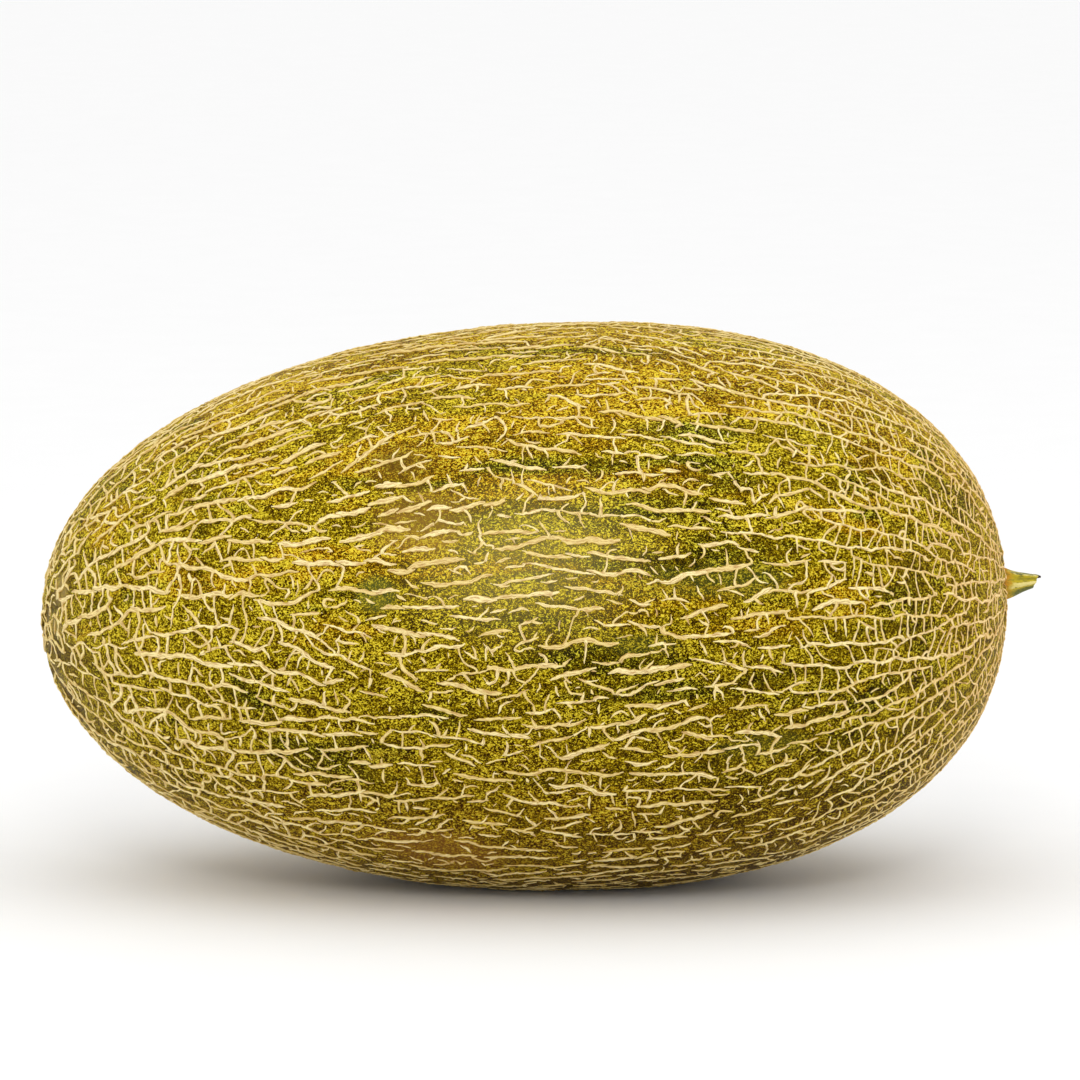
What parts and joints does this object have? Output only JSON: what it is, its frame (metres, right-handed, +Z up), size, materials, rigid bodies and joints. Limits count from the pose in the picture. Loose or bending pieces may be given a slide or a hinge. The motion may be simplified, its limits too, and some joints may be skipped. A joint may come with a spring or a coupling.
{
  "type": "netted melon",
  "caption": "Long oval netted melon lying on its side, yellow-green rind under a raised cream net, with the short stub of its stem.",
  "frame": {"origin": "on the resting surface, under the middle of the whole length", "axes": "+X along the fruit towards the stem end, +Z up, +Y to the far side as the fruit is seen from the front"},
  "size_m": [0.2899, 0.1659, 0.1636],
  "materials": {
    "rind": "semi-gloss waxy yellow-green skin with a raised matt cream cork net",
    "stem": "dry ribbed yellow-green stub"
  },
  "bodies": {
    "root": {"fruit": "rind", "stem": "stem"}
  },
  "joints": []
}
